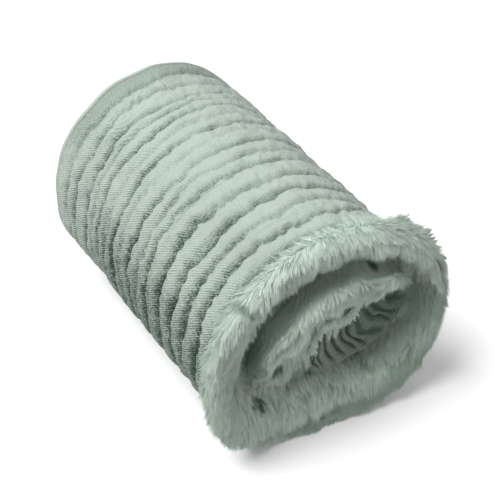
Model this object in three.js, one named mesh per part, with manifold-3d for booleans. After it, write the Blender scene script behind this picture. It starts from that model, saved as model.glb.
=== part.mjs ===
// A baby blanket of crinkled muslin lined with plush, rolled up with the muslin outside.
// The roll lies along Y on the plane z = 0, with its plush end towards -Y.
import * as THREE from "three";
import { mergeVertices } from "three/addons/utils/BufferGeometryUtils.js";
import Module from "manifold-3d";

const wasm = await Module();
wasm.setup();

// Driving dimensions, in millimetres and degrees
const muslinLength = 242;
const halfWidth = 90;
const halfHeight = 95;
const flatSpotDepth = 3; // how far the roll's underside is pressed flat
const layerStep = 8; // thickness of the cloth at the loose end
const layerProud = 5.5; // the part of it that stands outside the roll's outline
const looseEndAngle = 342; // where the outer turn ends, from +X towards +Z
const looseEndGap = 3;
const layerFade = 50; // degrees over which the outer turn sinks to the roll's outline
const layerTuck = 45; // degrees over which it dips to pass under its own end
const columns = 44; // points round the roll
const clearance = 0.4; // between the muslin and the plush

const farFoldRadius = 12; // how round the muslin turns over at the far end
const farTurnPitch = 26;
const farTurnRings = 12;
const farTurnDepth = 9; // the grooves between the turns at the far end

const hemThickness = 4;
const hemDepth = 2.5; // how far the hem lies below the first crinkle
const hemRound = 0.6; // how far its inner corner stands back
const socketWall = 13; // muslin left round the hollow that the plush end fills
const socketDepth = 20;
const innerRollOffset = { x: 12, z: 4 }; // the inner turns lie off the roll's axis
const innerRollRise = 15; // height of the plush in the middle of the inner turns

const nearSeam = -113; // from the roll's own zero along Y
const farEnd = nearSeam + muslinLength;
const axisHeight = halfHeight - flatSpotDepth;

// Crinkle valleys: place along the roll on its left flank, crown and right flank, and depth on each side
const valleys = [
  { left: -95, crown: -99, right: -99, leftDepth: 8, crownDepth: 6 },
  { left: -79, crown: -84, right: -85, leftDepth: 6, crownDepth: 3.5 },
  { left: -63, crown: -68, right: -66, leftDepth: 8, crownDepth: 4 },
  { left: -42, crown: -50, right: -55, leftDepth: 8, crownDepth: 3.5 },
  { left: -24, crown: -28, right: -38, leftDepth: 4, crownDepth: 3 },
  { left: -13, crown: -16, right: -20, leftDepth: 1.5, crownDepth: 2.5 },
  { left: 0, crown: -3, right: 3, leftDepth: 6, crownDepth: 4 },
  { left: 11, crown: 12, right: 14, leftDepth: 1.5, crownDepth: 1.5 },
  { left: 24, crown: 24, right: 30, leftDepth: 7, crownDepth: 4 },
  { left: 36, crown: 37, right: 40, leftDepth: 2, crownDepth: 1.5 },
  { left: 47, crown: 50, right: 50, leftDepth: 7, crownDepth: 4 },
  { left: 57, crown: 63, right: 60, leftDepth: 2, crownDepth: 4 },
  { left: 68, crown: 70, right: 74, leftDepth: 6, crownDepth: 3 },
  { left: 88, crown: 87, right: 90, leftDepth: 4, crownDepth: 2.5 },
  { left: 101, crown: 101, right: 102, leftDepth: 3, crownDepth: 2 },
];

// Plush end: its rim, lip, the dip inside the lip, and the inner turns' ridge, by angle.
// Each rise is the height beyond the muslin's edge; ridge is measured from the inner roll's own centre.
const endProfile = [
  { angle: 0, rim: 103, rimRise: 22, lip: 94, lipRise: 32, dip: 82, dipRise: 6, ridge: 60, ridgeRise: 16 },
  { angle: 30, rim: 106, rimRise: 18, lip: 95, lipRise: 32, dip: 84, dipRise: 10, ridge: 61, ridgeRise: 24 },
  { angle: 60, rim: 103, rimRise: 12, lip: 91, lipRise: 29, dip: 74, dipRise: 6, ridge: 50, ridgeRise: 26 },
  { angle: 90, rim: 99, rimRise: 10, lip: 88, lipRise: 23, dip: 64, dipRise: 0, ridge: 49, ridgeRise: 26 },
  { angle: 120, rim: 95, rimRise: 9, lip: 87, lipRise: 18, dip: 60, dipRise: -2, ridge: 50, ridgeRise: 25 },
  { angle: 150, rim: 95, rimRise: 9, lip: 87, lipRise: 17, dip: 63, dipRise: -2, ridge: 54, ridgeRise: 24 },
  { angle: 180, rim: 95, rimRise: 12, lip: 87, lipRise: 20, dip: 66, dipRise: 0, ridge: 66, ridgeRise: 19 },
  { angle: 210, rim: 99, rimRise: 12, lip: 87, lipRise: 20, dip: 62, dipRise: -4, ridge: 50, ridgeRise: 8 },
  { angle: 240, rim: 97, rimRise: 8, lip: 86, lipRise: 14, dip: 50, dipRise: 0, ridge: 37, ridgeRise: 7 },
  { angle: 270, rim: 94, rimRise: 12, lip: 86, lipRise: 18, dip: 43, dipRise: -4, ridge: 33, ridgeRise: 6 },
  { angle: 300, rim: 97, rimRise: 19, lip: 89, lipRise: 26, dip: 54, dipRise: -6, ridge: 38, ridgeRise: 8 },
  { angle: 330, rim: 101, rimRise: 25, lip: 92, lipRise: 32, dip: 74, dipRise: 1, ridge: 52, ridgeRise: 10 },
];

// The muslin's inner turn, drawn in and gathered at the end: the edge beside the plush and the outer
// edge, each with its height, at stations from the roll's middle to its right side, from the roll's axis
const innerTurn = [
  { edgeX: -5, edgeZ: -31, edgeRise: 8, outerX: -5, outerZ: -36, outerRise: 5 },
  { edgeX: -2, edgeZ: -9, edgeRise: 12, outerX: 1, outerZ: -38, outerRise: 8 },
  { edgeX: 4, edgeZ: 5, edgeRise: 14, outerX: 12, outerZ: -39, outerRise: 9 },
  { edgeX: 15, edgeZ: 3, edgeRise: 14, outerX: 29, outerZ: -35, outerRise: 10 },
  { edgeX: 24, edgeZ: 4, edgeRise: 16, outerX: 45, outerZ: -32, outerRise: 11 },
  { edgeX: 35, edgeZ: 15, edgeRise: 17, outerX: 64, outerZ: -18, outerRise: 12 },
  { edgeX: 46, edgeZ: 20, edgeRise: 18, outerX: 72, outerZ: -3, outerRise: 13 },
  { edgeX: 61, edgeZ: 25, edgeRise: 17, outerX: 73, outerZ: 12, outerRise: 13 },
];
const gatherDepth = 2.5;
const gatherCount = 8;
const innerTurnStations = 33;
const innerTurnRoot = 5; // how far the inner turn goes on below the socket's floor

// How far the valleys wander along the roll, in slow and in quick waves
const valleySway = 1.4;
const valleyRipple = 0.8;

// Where the rings of one crinkle lie, as a share of the way to the next valley
const crestPlace = 0.62;
const crinkleStations = [0, 0.26, crestPlace, 0.87];
const crinkleRoundness = 0.6;

const radians = THREE.MathUtils.degToRad;
const lerp = THREE.MathUtils.lerp;
const smooth = THREE.MathUtils.smoothstep;

// A smooth curve through a table's column, closed round the full circle
function ringValue(table, column, angle) {
  const step = table[1].angle - table[0].angle;
  const place = THREE.MathUtils.euclideanModulo(angle, 360) / step;
  const i = Math.floor(place);
  const at = (k) => table[THREE.MathUtils.euclideanModulo(k, table.length)][column];
  return catmull(at(i - 1), at(i), at(i + 1), at(i + 2), place - i);
}

function catmull(a, b, c, d, t) {
  const m = (c - a) / 2;
  const n = (d - b) / 2;
  return b + t * (m + t * (3 * (c - b) - 2 * m - n + t * (m + n - 2 * (c - b))));
}

// A smooth curve through a table's column, from its first row to its last
function rowValue(table, column, place) {
  const i = Math.min(Math.floor(place), table.length - 2);
  const at = (k) => table[THREE.MathUtils.clamp(k, 0, table.length - 1)][column];
  return catmull(at(i - 1), at(i), at(i + 1), at(i + 2), place - i);
}

// The outer turn stands one layer proud where it ends, and passes under itself just past that
function layerOffset(angle) {
  const turned = THREE.MathUtils.euclideanModulo(looseEndAngle - angle, 360);
  const proud = layerProud * (1 - smooth(turned, 0, layerFade));
  return proud - (layerStep - layerProud) * smooth(turned, 360 - layerTuck, 360);
}

// The place and depth of one valley at an angle, blended from the flanks and the crown
function valleyAt(row, angle) {
  const side = Math.cos(radians(angle));
  const up = Math.sin(radians(angle));
  const crown = Math.max(0, up);
  const left = Math.max(0, -side) + Math.max(0, -up) / 2;
  const right = Math.max(0, side) + Math.max(0, -up) / 2;
  const mix = (l, c, r) => (left * l + crown * c + right * r) / (left + crown + right);
  const phase = row.left * 0.7;
  const sway = valleySway * Math.sin(radians(5 * angle) + phase);
  const ripple = valleyRipple * Math.sin(radians(11 * angle) + 2.3 * phase);
  return {
    y: mix(row.left, row.crown, row.right) + sway + ripple,
    depth: mix(row.leftDepth, row.crownDepth, (row.leftDepth + row.crownDepth) / 2),
  };
}

// The muslin's edge at the near end wanders a little
function seamAt(angle) {
  return nearSeam + 1.2 * Math.sin(radians(3 * angle)) + 0.8 * Math.sin(radians(8 * angle + 40));
}

// Points of the roll's cross-section, flat where it rests
function rollPoint(angle, shrink, y) {
  const a = radians(angle);
  const out = layerOffset(angle) - shrink;
  const x = (halfWidth + out) * Math.cos(a);
  const z = axisHeight + (halfHeight + out) * Math.sin(a);
  return new THREE.Vector3(x, y, Math.max(z, 0));
}

// Angles of the columns: the last and the first stand either side of the loose end
const columnAngles = Array.from(
  { length: columns },
  (_, i) => looseEndAngle + looseEndGap / 2 + (i * (360 - looseEndGap)) / (columns - 1),
);

// A closed body from rings of equal length, each end drawn together in a point
function bodyFromRings(rings, first, last) {
  const n = rings[0].length;
  const points = [first, ...rings.flat(), last];
  const index = [];
  const at = (ring, i) => 1 + ring * n + (i % n);
  for (let i = 0; i < n; i++) {
    index.push(0, at(0, i), at(0, i + 1));
    index.push(points.length - 1, at(rings.length - 1, i + 1), at(rings.length - 1, i));
  }
  for (let r = 0; r + 1 < rings.length; r++)
    for (let i = 0; i < n; i++) {
      index.push(at(r, i), at(r + 1, i), at(r + 1, i + 1));
      index.push(at(r, i), at(r + 1, i + 1), at(r, i + 1));
    }
  const geometry = new THREE.BufferGeometry().setFromPoints(points);
  geometry.setIndex(index);
  return geometry;
}

// A solid from a closed geometry, whichever way round its rings were listed
function solidOf(geometry) {
  const merged = mergeVertices(geometry, 1e-4);
  const vertProperties = new Float32Array(merged.attributes.position.array);
  const triVerts = new Uint32Array(merged.index.array);
  const made = () => new wasm.Manifold(new wasm.Mesh({ numProp: 3, vertProperties, triVerts }));
  if (made().volume() < 0) triVerts.reverse();
  return made();
}

// The cut round the inner turn leaves a crumb of plush beside it, which is dropped
function largestBody(solid) {
  return solid.decompose().sort((a, b) => b.volume() - a.volume())[0];
}

function geometryOf(solid) {
  const mesh = solid.getMesh();
  const geometry = new THREE.BufferGeometry();
  geometry.setAttribute("position", new THREE.BufferAttribute(mesh.vertProperties, 3));
  geometry.setIndex(new THREE.BufferAttribute(mesh.triVerts, 1));
  geometry.computeVertexNormals();
  return geometry;
}

// One ring at the near end, its radius and rise given by angle
function endRing(radius, rise, centre = { x: 0, z: 0 }) {
  return columnAngles.map((angle) => {
    const a = radians(angle);
    const r = radius(angle);
    const x = centre.x + r * Math.cos(a);
    const z = axisHeight + centre.z + r * Math.sin(a);
    return new THREE.Vector3(x, nearSeam - rise(angle), Math.max(z, 0));
  });
}

function crinkledRings() {
  const rings = [];
  const hem = (angle) => ({ y: seamAt(angle), depth: hemDepth });
  const fold = () => ({ y: farEnd - farFoldRadius, depth: 0 });
  const lines = [hem, ...valleys.map((row) => (angle) => valleyAt(row, angle)), fold];
  for (let v = 0; v + 1 < lines.length; v++)
    for (const u of crinkleStations)
      rings.push(
        columnAngles.map((angle) => {
          const near = lines[v](angle);
          const far = lines[v + 1](angle);
          const climb = u < crestPlace ? u / crestPlace : (1 - u) / (1 - crestPlace);
          const arch = Math.sin((Math.PI / 2) * climb) ** crinkleRoundness;
          const y = lerp(near.y, far.y, u);
          return rollPoint(angle, lerp(near.depth, far.depth, u) * (1 - arch), y);
        }),
      );
  return rings;
}

// The far end: the fold turns over, and the turns inside show as a shallow spiral
function farRings() {
  const rings = [];
  for (const t of [0, 30, 60, 85]) {
    const a = radians(t);
    const y = farEnd - farFoldRadius * (1 - Math.sin(a));
    rings.push(columnAngles.map((angle) => rollPoint(angle, farFoldRadius * (1 - Math.cos(a)), y)));
  }
  const faceRadius = halfWidth - farFoldRadius;
  for (let k = 1; k < farTurnRings; k++) {
    const inner = faceRadius * (1 - k / farTurnRings);
    rings.push(
      columnAngles.map((angle) => {
        const turned = THREE.MathUtils.euclideanModulo(looseEndAngle - angle, 360) / 360;
        const place = (faceRadius - inner) / farTurnPitch - turned;
        const dip = farTurnDepth * (1 - Math.abs(Math.sin(Math.PI * place))) ** 1.5;
        return rollPoint(angle, halfWidth - inner, farEnd - dip);
      }),
    );
  }
  return rings;
}

// A ring that keeps one distance inside the roll's outline
function insetRing(inset, y) {
  return columnAngles.map((angle) => rollPoint(angle, inset, y(angle)));
}

function socketRings() {
  const floor = () => nearSeam + socketDepth;
  return [
    insetRing(halfWidth / 2, floor),
    insetRing(socketWall, floor),
    insetRing(socketWall, (angle) => seamAt(angle) + hemThickness),
    insetRing(hemThickness + hemDepth, (angle) => seamAt(angle) + hemRound),
  ];
}

// The inner turn of muslin, a band that rises through the plush: grow widens it on every side
function innerTurnBody(grow) {
  const rings = [];
  const last = innerTurnStations - 1;
  for (let s = 0; s <= last; s++) {
    const place = (s / last) * (innerTurn.length - 1);
    const value = (column) => rowValue(innerTurn, column, place);
    const edge = new THREE.Vector2(value("edgeX"), value("edgeZ"));
    const outer = new THREE.Vector2(value("outerX"), value("outerZ"));
    const across = outer.clone().sub(edge);
    const margin = across.clone().setLength(grow);
    edge.sub(margin);
    outer.add(margin);
    const taper = Math.min(1, s / 3, (last - s) / 3) ** 0.5;
    const gather = gatherDepth * Math.sin((2 * Math.PI * gatherCount * s) / last) * taper;
    const edgeTop = value("edgeRise") * (0.5 + 0.5 * taper) + grow;
    const outerTop = value("outerRise") * (0.5 + 0.5 * taper) + grow;
    const root = -socketDepth - innerTurnRoot;
    const section = [
      [0, root],
      [0, edgeTop - 3],
      [0.08, edgeTop],
      [0.35, lerp(edgeTop, outerTop, 0.3) + gather],
      [0.75, lerp(edgeTop, outerTop, 0.8) + gather * 0.8],
      [0.95, outerTop - 2],
      [1, outerTop - 7],
      [1, root],
    ];
    const squeeze = 0.325 * (1 - taper);
    rings.push(
      section.map(([u, rise]) => {
        const p = edge.clone().lerp(outer, lerp(squeeze, 1 - squeeze, u));
        return new THREE.Vector3(p.x, nearSeam - rise, axisHeight + p.y);
      }),
    );
  }
  const middle = (ring, shift) => {
    const p = ring.reduce((sum, q) => sum.add(q), new THREE.Vector3()).divideScalar(ring.length);
    return p.setX(p.x + shift);
  };
  return solidOf(bodyFromRings(rings, middle(rings[0], -1 - grow), middle(rings.at(-1), 1 + grow)));
}

function muslinGeometry() {
  const rings = [...socketRings(), ...crinkledRings(), ...farRings()];
  const nearCentre = new THREE.Vector3(0, nearSeam + socketDepth, axisHeight);
  const farCentre = new THREE.Vector3(0, farEnd - farTurnDepth / 2, axisHeight);
  const roll = solidOf(bodyFromRings(rings, nearCentre, farCentre));
  return geometryOf(roll.add(innerTurnBody(0)));
}

// The plush's outline at one angle, from the socket's floor over the rim and lip to the middle
function plushGeometry() {
  const value = (column) => (angle) => ringValue(endProfile, column, angle);
  const tuft = (angle, size, phase) =>
    size * Math.sin(radians(9 * angle) + phase) * Math.sin(radians(4 * angle));
  const blend = (from, to, t, swell = 0) => (angle) =>
    lerp(value(from)(angle), value(to)(angle), t) + swell;
  const inside = innerRollOffset;
  const back = nearSeam + socketDepth - clearance;
  const rings = [
    insetRing(halfWidth / 2, () => back),
    insetRing(socketWall + clearance, () => back),
    insetRing(socketWall + clearance, (angle) => seamAt(angle) - clearance),
    insetRing(hemDepth + 1, (angle) => seamAt(angle) - clearance - 0.5),
    endRing((a) => lerp(halfWidth, value("rim")(a), 0.7), (a) => value("rimRise")(a) * 0.35),
    endRing((a) => value("rim")(a) + tuft(a, 1, 0), value("rimRise")),
    endRing(blend("rim", "lip", 0.5, 1.5), blend("rimRise", "lipRise", 0.75)),
    endRing(value("lip"), (a) => value("lipRise")(a) + tuft(a, 1.5, 1)),
    endRing(blend("lip", "dip", 0.4), blend("lipRise", "dipRise", 0.22)),
    endRing(blend("lip", "dip", 0.8), blend("lipRise", "dipRise", 0.75)),
    endRing(value("dip"), value("dipRise")),
    endRing((a) => value("ridge")(a) + 4, blend("dipRise", "ridgeRise", 0.65), inside),
    endRing(value("ridge"), value("ridgeRise"), inside),
    endRing((a) => value("ridge")(a) * 0.8, (a) => value("ridgeRise")(a) - 4, inside),
    endRing((a) => value("ridge")(a) * 0.6, (a) => 8 + 0.4 * value("ridgeRise")(a), inside),
    endRing((a) => value("ridge")(a) * 0.3, (a) => 9 + 0.3 * value("ridgeRise")(a), inside),
  ];
  const backCentre = new THREE.Vector3(0, back, axisHeight);
  const frontCentre = new THREE.Vector3(inside.x, nearSeam - innerRollRise, axisHeight + inside.z);
  const plush = solidOf(bodyFromRings(rings, backCentre, frontCentre));
  return geometryOf(largestBody(plush.subtract(innerTurnBody(clearance))));
}

const muslinMaterial = new THREE.MeshStandardMaterial({ color: 0xb1beb5, roughness: 0.95, metalness: 0 });
const plushMaterial = new THREE.MeshStandardMaterial({ color: 0xb4c1b9, roughness: 1, metalness: 0 });

function named(name, geometry, material) {
  const mesh = new THREE.Mesh(geometry, material);
  mesh.name = name;
  return mesh;
}

const roll = new THREE.Group();
roll.add(named("muslin_cover", muslinGeometry(), muslinMaterial));
roll.add(named("plush_lining", plushGeometry(), plushMaterial));

// The part's origin is under the middle of its outer box
const middle = new THREE.Box3().setFromObject(roll).getCenter(new THREE.Vector3());
roll.position.set(-middle.x, -middle.y, 0);

const blanket = new THREE.Group();
blanket.add(roll);

export default blanket;
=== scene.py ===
import math

import bmesh
import bpy
import numpy as np
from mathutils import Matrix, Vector, kdtree, noise


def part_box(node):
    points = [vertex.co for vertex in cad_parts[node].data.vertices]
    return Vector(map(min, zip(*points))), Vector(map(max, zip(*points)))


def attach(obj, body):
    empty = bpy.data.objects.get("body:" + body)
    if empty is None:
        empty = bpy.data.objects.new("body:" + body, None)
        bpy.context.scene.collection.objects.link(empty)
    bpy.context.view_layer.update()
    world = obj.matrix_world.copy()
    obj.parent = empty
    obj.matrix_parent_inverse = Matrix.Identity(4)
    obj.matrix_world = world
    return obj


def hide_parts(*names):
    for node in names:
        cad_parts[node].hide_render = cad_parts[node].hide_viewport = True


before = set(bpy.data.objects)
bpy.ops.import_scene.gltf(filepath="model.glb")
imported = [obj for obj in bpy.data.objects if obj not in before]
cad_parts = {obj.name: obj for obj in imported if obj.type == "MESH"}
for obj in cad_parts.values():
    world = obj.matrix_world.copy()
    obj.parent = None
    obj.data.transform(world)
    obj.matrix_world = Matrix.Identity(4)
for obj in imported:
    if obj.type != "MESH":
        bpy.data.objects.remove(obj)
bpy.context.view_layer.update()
coverLow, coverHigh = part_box("muslin_cover")

# A rolled baby blanket: crinkled muslin outside, plush at the near end. Sizes in millimetres and degrees.
roll = {
    "halfWidth": 90,
    "halfHeight": 95,
    "flatSpot": 3,  # how much of its height is pressed flat where it rests
    "nearSeam": -113,  # where the muslin ends beside the plush
    "seamWave": 1.2,
    "seamRipple": 0.8,
    "farEnd": 129,
    "looseEnd": 342,  # where the outer turn ends, from +X towards +Z
    "layerStep": 8,
    "layerProud": 5.5,  # how far the loose end stands off the roll
    "layerFade": 50,
    "layerTuck": 45,
    "degree": 1.6,  # millimetres round the roll for one degree
}
axisHeight = roll["halfHeight"] - roll["flatSpot"]
axisX = coverLow.x * 1000 + roll["halfWidth"]
axisY = coverHigh.y * 1000 - roll["farEnd"]

# Crinkle valleys: place on the left flank, the crown and the right flank, depth on the left and the crown
valleys = np.array([
    (-95, -99, -99, 8, 6),
    (-79, -84, -85, 6, 3.5),
    (-63, -68, -66, 8, 4),
    (-42, -50, -55, 8, 3.5),
    (-24, -28, -38, 4, 3),
    (-13, -16, -20, 1.5, 2.5),
    (0, -3, 3, 6, 4),
    (11, 12, 14, 1.5, 1.5),
    (24, 24, 30, 7, 4),
    (36, 37, 40, 2, 1.5),
    (47, 50, 50, 7, 4),
    (57, 63, 60, 2, 4),
    (68, 70, 74, 6, 3),
    (88, 87, 90, 4, 2.5),
    (101, 101, 102, 3, 2),
])

# The plush end every 30 degrees: radius and rise of its rim, lip, dip and inner ridge
endProfile = np.array([
    (103, 22, 94, 32, 82, 6, 60, 16),
    (106, 18, 95, 32, 84, 10, 61, 24),
    (103, 12, 91, 29, 74, 6, 50, 26),
    (99, 10, 88, 23, 64, 0, 49, 26),
    (95, 9, 87, 18, 60, -2, 50, 25),
    (95, 9, 87, 17, 63, -2, 54, 24),
    (95, 12, 87, 20, 66, 0, 66, 19),
    (99, 12, 87, 20, 62, -4, 50, 8),
    (97, 8, 86, 14, 50, 0, 37, 7),
    (94, 12, 86, 18, 43, -4, 33, 6),
    (97, 19, 89, 26, 54, -6, 38, 8),
    (101, 25, 92, 32, 74, 1, 52, 10),
], float)
profileNames = ["rim", "rimRise", "lip", "lipRise", "dip", "dipRise", "ridge", "ridgeRise"]

# The gathered inner turn: its edge by the plush and its outer edge, x and z from the axis, and rise
innerTurn = np.array([
    (-5, -31, 8, -5, -36, 5),
    (-2, -9, 12, 1, -38, 8),
    (4, 5, 14, 12, -39, 9),
    (15, 3, 14, 29, -35, 10),
    (24, 4, 16, 45, -32, 11),
    (35, 15, 17, 64, -18, 12),
    (46, 20, 18, 72, -3, 13),
    (61, 25, 17, 73, 12, 13),
], float)
turnOuter = innerTurn[:, 3:5]


def smooth(value, low, high):
    t = np.clip((value - low) / (high - low), 0, 1)
    return t * t * (3 - 2 * t)


def hill(value, start, full, fade, end):  # up from 0 at start to 1 at full, down again from fade to end
    return smooth(value, start, full) * (1 - smooth(value, fade, end))


def dome(distance, width):  # 1 in the middle, fading away over a width
    return np.exp(-(distance / width) ** 2)


def mix(a, b, t):
    return a + (b - a) * t


def unit(vectors):
    return vectors / np.maximum(np.linalg.norm(vectors, axis=-1, keepdims=True), 1e-9)


def catmull(a, b, c, d, t):
    m, n = (c - a) / 2, (d - b) / 2
    return b + t * (m + t * (3 * (c - b) - 2 * m - n + t * (m + n - 2 * (c - b))))


def ringCurve(values, angle):  # a smooth curve through values spaced evenly round the circle
    place = np.mod(angle, 360) * len(values) / 360
    i = np.floor(place).astype(int)
    a, b, c, d = (values[(i + k) % len(values)] for k in (-1, 0, 1, 2))
    return catmull(a, b, c, d, place - i)


def rowCurve(values, place):  # a smooth curve through values, from the first at 0 to the last at 1
    place = np.clip(place, 0, 1) * (len(values) - 1)
    i = np.minimum(np.floor(place).astype(int), len(values) - 2)
    a, b, c, d = (values[np.clip(i + k, 0, len(values) - 1)] for k in (-1, 0, 1, 2))
    t = place - i
    return catmull(a, b, c, d, t.reshape(t.shape + (1,) * (values.ndim - 1)))


def rumple(x, y, z, size, seed):  # soft random heights, about -0.6 to 0.6, with hills of that size
    points = np.stack(np.broadcast_arrays(x, y, z), -1).reshape(-1, 3) / size + seed * 7.31
    heights = np.array([noise.noise(Vector(p)) for p in points.tolist()])
    return heights.reshape(np.broadcast(x, y, z).shape)


def rumpleAt(places, size, seed):
    return rumple(places[..., 0], places[..., 1], places[..., 2], size, seed)


def toFrame(x, y, z):  # from the roll's own axis, in millimetres, to the frame, in metres
    return np.stack([x + axisX, y + axisY, z], -1) / 1000


def seamAt(angle):  # the muslin's edge beside the plush, which waves a little
    wave = roll["seamWave"] * np.sin(np.radians(3 * angle))
    ripple = roll["seamRipple"] * np.sin(np.radians(8 * angle + 40))
    return roll["nearSeam"] + wave + ripple


def layerOut(wound):  # how far the cloth stands off the roll's outline, by degrees wound in from its end
    proud = roll["layerProud"] * (1 - smooth(wound, 0, roll["layerFade"]))
    tuck = roll["layerStep"] - roll["layerProud"]
    under = roll["layerProud"] * smooth(wound, 360, 360 + roll["layerFade"])
    return proud - tuck * smooth(wound, 360 - roll["layerTuck"], 360) - under


def rollOutline(angle, out):  # x and z of a place that far out from the roll's outline
    a = np.radians(angle)
    x = (roll["halfWidth"] + out) * np.cos(a)
    z = axisHeight + (roll["halfHeight"] + out) * np.sin(a)
    return x, np.maximum(z, 0)  # flat where it rests


def rollPoint(angle, out, y):
    x, z = rollOutline(angle, out)
    return toFrame(x, y + 0 * x, z)


def gridPiece(name, points, cloth=None, closed=False):  # a sheet through a table of points, rows by columns
    rows, columns = points.shape[:2]
    bm = bmesh.new()
    bmesh.ops.create_grid(bm, x_segments=columns - 1, y_segments=rows - 1, size=1)
    mesh = bpy.data.meshes.new(name)
    bm.to_mesh(mesh)
    bm.free()
    flat = np.empty(len(mesh.vertices) * 3)
    mesh.vertices.foreach_get("co", flat)
    spot = (flat.reshape(-1, 3) + 1) / 2
    column = np.rint(spot[:, 0] * (columns - 1)).astype(int)
    row = np.rint(spot[:, 1] * (rows - 1)).astype(int)
    mesh.vertices.foreach_set("co", points[row, column].ravel())
    if cloth is not None:  # the cloth's own measure, in metres, as its UV map
        corner = np.empty(len(mesh.loops), int)
        mesh.loops.foreach_get("vertex_index", corner)
        layer = mesh.uv_layers.new(name="cloth")
        layer.data.foreach_set("uv", cloth[row, column][corner].ravel())
    if closed:
        bm = bmesh.new()
        bm.from_mesh(mesh)
        bmesh.ops.remove_doubles(bm, verts=bm.verts, dist=2e-5)
        bm.to_mesh(mesh)
        bm.free()
    piece = bpy.data.objects.new(name, mesh)
    bpy.context.scene.collection.objects.link(piece)
    mesh.shade_smooth()
    return piece


def facing(piece, outward):  # turns the faces over if they look against a direction given by place
    mesh = piece.data
    centres, normals = np.empty(len(mesh.polygons) * 3), np.empty(len(mesh.polygons) * 3)
    mesh.polygons.foreach_get("center", centres)
    mesh.polygons.foreach_get("normal", normals)
    centres, normals = centres.reshape(-1, 3), normals.reshape(-1, 3)
    if (normals * outward(centres)).sum() < 0:
        mesh.flip_normals()


def fromAxis(places):
    away = places - np.array([axisX, 0, axisHeight]) / 1000
    away[:, 1] = 0
    return away


def nearwards(places):
    return np.array([0, -1, 0]) + 0 * places


def farwards(places):  # read at the far end only
    return np.array([0, 1, 0]) * (places[:, 1:2] > coverHigh.y - 0.01)


def thicken(piece, millimetres):
    wall = piece.modifiers.new("wall", "SOLIDIFY")
    wall.thickness = millimetres / 1000
    wall.offset = -1
    wall.use_even_offset = False


print("camera and light")
camera = {
    "azimuth": -32.6,
    "elevation": 41.5,
    "distance": 932,
    "right": 17,
    "up": -6,
    "lens": 86.4,
    "sensor": 36,
}


def placeCamera():
    a, e = math.radians(camera["azimuth"]), math.radians(camera["elevation"])
    back = np.array([math.sin(a) * math.cos(e), -math.cos(a) * math.cos(e), math.sin(e)])
    right = np.array([math.cos(a), math.sin(a), 0])
    up = np.cross(back, right)
    aim = np.array([axisX, axisY, axisHeight])
    place = aim + back * camera["distance"] + right * camera["right"] + up * camera["up"]
    data = bpy.data.cameras.new("camera")
    data.lens = camera["lens"]
    data.sensor_width = camera["sensor"]
    eye = bpy.data.objects.new("camera", data)
    eye.location = place / 1000
    eye.rotation_euler = (math.radians(90 - camera["elevation"]), 0, a)
    bpy.context.scene.collection.objects.link(eye)
    bpy.context.scene.camera = eye


studio = {
    "floorColour": (0.96, 0.96, 0.96, 1),
    "floorRoughness": 0.9,
    "floorHalf": 12,  # metres
    "sky": 0.55,
    "sun": 2.8,
    "sunFrom": (-0.47, 0.04, 0.88),
    "sunSoftness": 32,
}


def lightStudio():
    bpy.context.scene.view_settings.view_transform = "Standard"
    world = bpy.data.worlds.new("studio")
    world.use_nodes = True
    world.node_tree.nodes["Background"].inputs["Color"].default_value = (1, 1, 1, 1)
    world.node_tree.nodes["Background"].inputs["Strength"].default_value = studio["sky"]
    bpy.context.scene.world = world
    data = bpy.data.lights.new("softbox", "SUN")
    data.energy = studio["sun"]
    data.angle = math.radians(studio["sunSoftness"])
    lamp = bpy.data.objects.new("softbox", data)
    lamp.rotation_euler = Vector(studio["sunFrom"]).to_track_quat("Z", "Y").to_euler()
    bpy.context.scene.collection.objects.link(lamp)


def layFloor():
    bm = bmesh.new()
    bmesh.ops.create_grid(bm, x_segments=1, y_segments=1, size=studio["floorHalf"])
    mesh = bpy.data.meshes.new("floor")
    bm.to_mesh(mesh)
    bm.free()
    floor = bpy.data.objects.new("floor", mesh)
    bpy.context.scene.collection.objects.link(floor)
    paint = bpy.data.materials.new("floor")
    paint.use_nodes = True
    skin = paint.node_tree.nodes["Principled BSDF"]
    skin.inputs["Base Color"].default_value = studio["floorColour"]
    skin.inputs["Roughness"].default_value = studio["floorRoughness"]
    mesh.materials.append(paint)
    floor.visible_diffuse = False  # a white floor would light the roll from below


placeCamera()
lightStudio()
layFloor()


class Wire:  # a shader socket that can be reckoned with
    def __init__(self, finish, socket):
        self.finish = finish
        self.socket = socket

    def reckon(self, operation, first, second):
        return self.finish.node("ShaderNodeMath", {"operation": operation}, {0: first, 1: second})

    def __add__(self, other):
        return self.reckon("ADD", self, other)

    def __radd__(self, other):
        return self.reckon("ADD", other, self)

    def __sub__(self, other):
        return self.reckon("SUBTRACT", self, other)

    def __rsub__(self, other):
        return self.reckon("SUBTRACT", other, self)

    def __mul__(self, other):
        return self.reckon("MULTIPLY", self, other)

    def __rmul__(self, other):
        return self.reckon("MULTIPLY", other, self)

    def __pow__(self, other):
        return self.reckon("POWER", self, other)


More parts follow.
